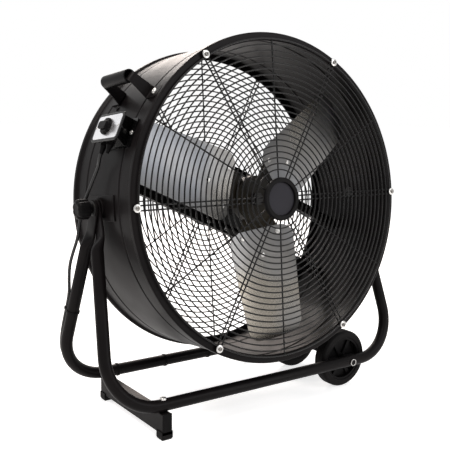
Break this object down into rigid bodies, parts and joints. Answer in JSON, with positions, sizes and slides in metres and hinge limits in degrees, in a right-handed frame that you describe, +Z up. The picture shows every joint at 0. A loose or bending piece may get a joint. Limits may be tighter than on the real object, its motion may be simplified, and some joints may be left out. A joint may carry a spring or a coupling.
{
  "type": "tilting drum fan",
  "caption": "Drum fan with wire guards and a riveted blade rotor, tilting between two bent tube frames on a foot beam and a pair of wheels.",
  "frame": {"origin": "on the floor, midway between the clamp knobs and below the tilt axis", "axes": "+Z up, the drum's outlet faces -Y, +X right as seen from the outlet side"},
  "size_m": [0.7432, 0.4272, 0.7633],
  "materials": {
    "black_steel": "satin powder coat",
    "black_wire": "gloss powder coat",
    "plated_screws": "zinc plated",
    "moulded_black": "fine grain",
    "plate_metal": "satin",
    "blade_metal": "rolled sheet",
    "hub_steel": "pressed",
    "motor_paint": "satin",
    "black_rubber": "moulded",
    "cord_rubber": "smooth jacket",
    "plug_brass": "bright"
  },
  "bodies": {
    "stand": {"front_frame": "black_steel", "rear_frame": "black_steel", "foot_beam": "black_steel", "beam_plugs": "moulded_black", "beam_shoes": "black_rubber", "beam_bolts": "plated_screws", "wheel_axle": "black_steel", "axle_collars": "moulded_black", "axle_rings": "plated_screws", "pivot_washers": "plated_screws", "cable_ties": "moulded_black", "mains_cord": "cord_rubber", "mains_coil": "cord_rubber", "mains_plug": "cord_rubber", "plug_pins": "plug_brass"},
    "drum": {"drum_shell": "black_steel", "front_grille": "black_wire", "rear_grille": "black_wire", "front_screws": "plated_screws", "rear_screws": "plated_screws", "badge": "moulded_black", "badge_face": "moulded_black", "upper_motor_bar": "black_steel", "lower_motor_bar": "black_steel", "bar_screws": "black_steel", "motor_can": "motor_paint", "motor_front_bell": "motor_paint", "motor_rear_bell": "motor_paint", "motor_studs": "plated_screws", "handle_strap": "black_steel", "handle_grip": "moulded_black", "handle_bolts": "plated_screws", "control_box": "moulded_black", "control_plate": "plate_metal", "box_screws": "plated_screws", "power_gland": "moulded_black", "motor_gland": "moulded_black", "left_backing_plate": "black_steel", "right_backing_plate": "black_steel", "pivot_bolts": "plated_screws", "pivot_spacers": "black_steel", "control_lead": "cord_rubber"},
    "rotor": {"rotor_hub": "hub_steel", "blade_1": "blade_metal", "blade_2": "blade_metal", "blade_3": "blade_metal", "blade_rivets": "plated_screws", "motor_shaft": "plated_screws", "hub_nut": "plated_screws"},
    "speed_knob": {"speed_knob": "moulded_black"},
    "left_clamp": {"left_clamp_knob": "moulded_black"},
    "right_clamp": {"right_clamp_knob": "moulded_black"},
    "front_wheel": {"front_tyre": "black_rubber", "front_wheel_hub": "moulded_black"},
    "rear_wheel": {"rear_tyre": "black_rubber", "rear_wheel_hub": "moulded_black"}
  },
  "joints": [
    {"name": "drum_tilt", "type": "hinge", "parent": "stand", "child": "drum", "pos_m": [0, 0, 0.427], "axis": [1, 0, 0], "range_deg": [-84.2, 95.8], "deforming": ["control_lead"]},
    {"name": "rotor_spin", "type": "hinge", "parent": "drum", "child": "rotor", "pos_m": [0, -0.0497, 0.4321], "axis": [0, -0.9949, 0.1011], "continuous": true},
    {"name": "speed_turn", "type": "hinge", "parent": "drum", "child": "speed_knob", "pos_m": [-0.32106, -0.03183, 0.57867], "axis": [-0.9085, 0.0422, 0.4158], "range_deg": [0, 135]},
    {"name": "left_clamp_turn", "type": "hinge", "parent": "drum", "child": "left_clamp", "pos_m": [-0.36, 0, 0.427], "axis": [-1, 0, 0], "range_deg": [0, 720]},
    {"name": "right_clamp_turn", "type": "hinge", "parent": "drum", "child": "right_clamp", "pos_m": [0.36, 0, 0.427], "axis": [1, 0, 0], "range_deg": [0, 720]},
    {"name": "front_wheel_roll", "type": "hinge", "parent": "stand", "child": "front_wheel", "pos_m": [0.2257, -0.082, 0.0635], "axis": [0, 1, 0], "continuous": true},
    {"name": "rear_wheel_roll", "type": "hinge", "parent": "stand", "child": "rear_wheel", "pos_m": [0.2257, 0.082, 0.0635], "axis": [0, 1, 0], "continuous": true}
  ]
}
